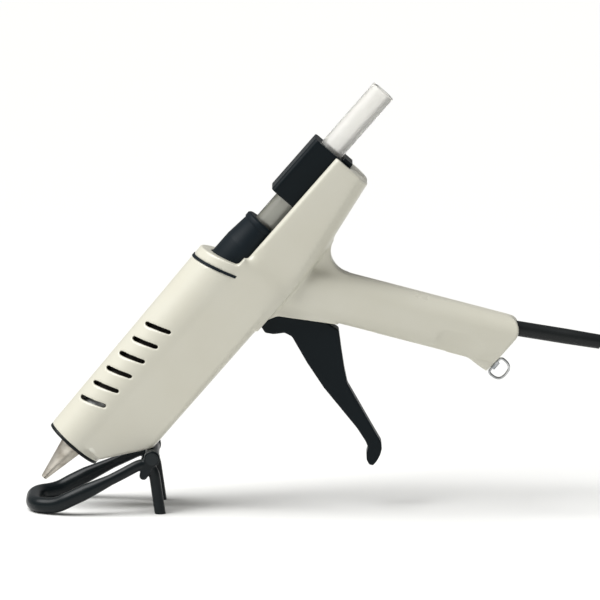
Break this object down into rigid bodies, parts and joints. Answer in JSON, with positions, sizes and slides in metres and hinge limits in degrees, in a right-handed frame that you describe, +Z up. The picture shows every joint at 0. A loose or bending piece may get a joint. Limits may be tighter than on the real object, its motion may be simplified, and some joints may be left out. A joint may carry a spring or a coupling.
{
  "type": "hot glue gun",
  "caption": "Long-lever hot glue gun with a moulded two-half housing, cone nozzle, open feed trough with sliding carriage, folding rod stand and mains cord.",
  "frame": {"origin": "on the bench, below the middle of the tool without its cord", "axes": "+X from the nozzle towards the handle and cord, +Y across to the right side, +Z up from the bench"},
  "size_m": [0.5028, 0.1096, 0.2682],
  "materials": {
    "ivory_abs": "moulded, fine satin",
    "black_phenolic": "moulded, matt",
    "black_rubber": "moulded, satin",
    "grey_rubber": "moulded silicone, matt",
    "brown_rubber": "extruded silicone",
    "zinc_steel": "zinc plated",
    "bright_steel": "drawn, bright",
    "nozzle_brass": "turned, heat dulled",
    "pin_brass": "nickel plated",
    "cast_aluminium": "cast",
    "glass_wrap": "woven glass fibre",
    "black_nylon": "moulded, satin",
    "white_nylon": "moulded",
    "hot_melt": "cast, translucent",
    "cord_rubber": "extruded, smooth",
    "black_rod": "powder coated"
  },
  "bodies": {
    "housing": {"left_shell": "ivory_abs", "right_shell": "ivory_abs", "front_plate": "black_phenolic", "rear_seal": "black_rubber", "case_screws": "zinc_steel", "nozzle": "nozzle_brass", "valve_spring": "bright_steel", "melt_chamber": "cast_aluminium", "heater_cartridge": "bright_steel", "insulation_wrap": "glass_wrap", "front_support": "black_phenolic", "rear_support": "black_phenolic", "inlet_sleeve": "grey_rubber", "thermostat": "black_phenolic", "thermal_fuse": "bright_steel", "feed_guide": "black_nylon", "trigger_pin": "zinc_steel", "return_spring": "bright_steel", "terminal_block": "white_nylon", "terminal_screws": "zinc_steel", "heater_leads": "brown_rubber", "cord_clamp": "black_phenolic", "clamp_screws": "zinc_steel", "strain_relief": "black_rubber", "cord_inner": "cord_rubber", "cord_lead": "cord_rubber", "cord_coil": "cord_rubber", "cord_tie": "black_nylon", "plug_body": "cord_rubber", "plug_pins": "pin_brass", "loop_eye": "bright_steel", "stand_bracket": "black_nylon", "stand_pin": "zinc_steel", "stand_washers": "zinc_steel"},
    "trigger": {"trigger": "black_nylon"},
    "carriage": {"carriage": "black_nylon", "draw_bar": "zinc_steel", "drive_pin": "zinc_steel", "jaw_pin": "zinc_steel"},
    "jaw": {"grip_jaw": "zinc_steel"},
    "stick": {"glue_stick": "hot_melt"},
    "valve": {"valve_ball": "bright_steel"},
    "hanger": {"hang_loop": "bright_steel"},
    "stand": {"stand_rod": "black_rod"}
  },
  "joints": [
    {"name": "trigger_pull", "type": "hinge", "parent": "housing", "child": "trigger", "pos_m": [-0.00456, 0, 0.12598], "axis": [0, -1, 0], "range_deg": [0, 35], "stiffness_Nm_per_rad": 1.5, "springref_deg": -8.59},
    {"name": "carriage_feed", "type": "slide", "parent": "housing", "child": "carriage", "axis": [-0.6561, 0, -0.7547], "range_m": [0, 0.00927], "deforming": ["return_spring"]},
    {"name": "stick_feed", "type": "slide", "parent": "carriage", "child": "stick", "axis": [-0.6561, 0, -0.7547], "range_m": [0, 0.03]},
    {"name": "jaw_release", "type": "hinge", "parent": "carriage", "child": "jaw", "pos_m": [0.0388, 0, 0.20223], "axis": [0, -1, 0], "range_deg": [0, 10], "stiffness_Nm_per_rad": 0.02, "springref_deg": -11.46},
    {"name": "valve_open", "type": "slide", "parent": "housing", "child": "valve", "axis": [-0.6561, 0, -0.7547], "range_m": [0, 0.0012], "stiffness_N_per_m": 400, "springref_m": -0.002, "deforming": ["valve_spring"]},
    {"name": "stand_fold", "type": "hinge", "parent": "housing", "child": "stand", "pos_m": [-0.07477, 0, 0.0353], "axis": [0, -1, 0], "range_deg": [0, 200]},
    {"name": "loop_swing", "type": "hinge", "parent": "housing", "child": "hanger", "pos_m": [0.13938, 0, 0.09021], "axis": [0.6561, 0, 0.7547], "range_deg": [-75, 75]}
  ],
  "couplings": [
    {"joint": "carriage_feed", "follows": "trigger_pull", "m_per_rad": 0.015175}
  ]
}
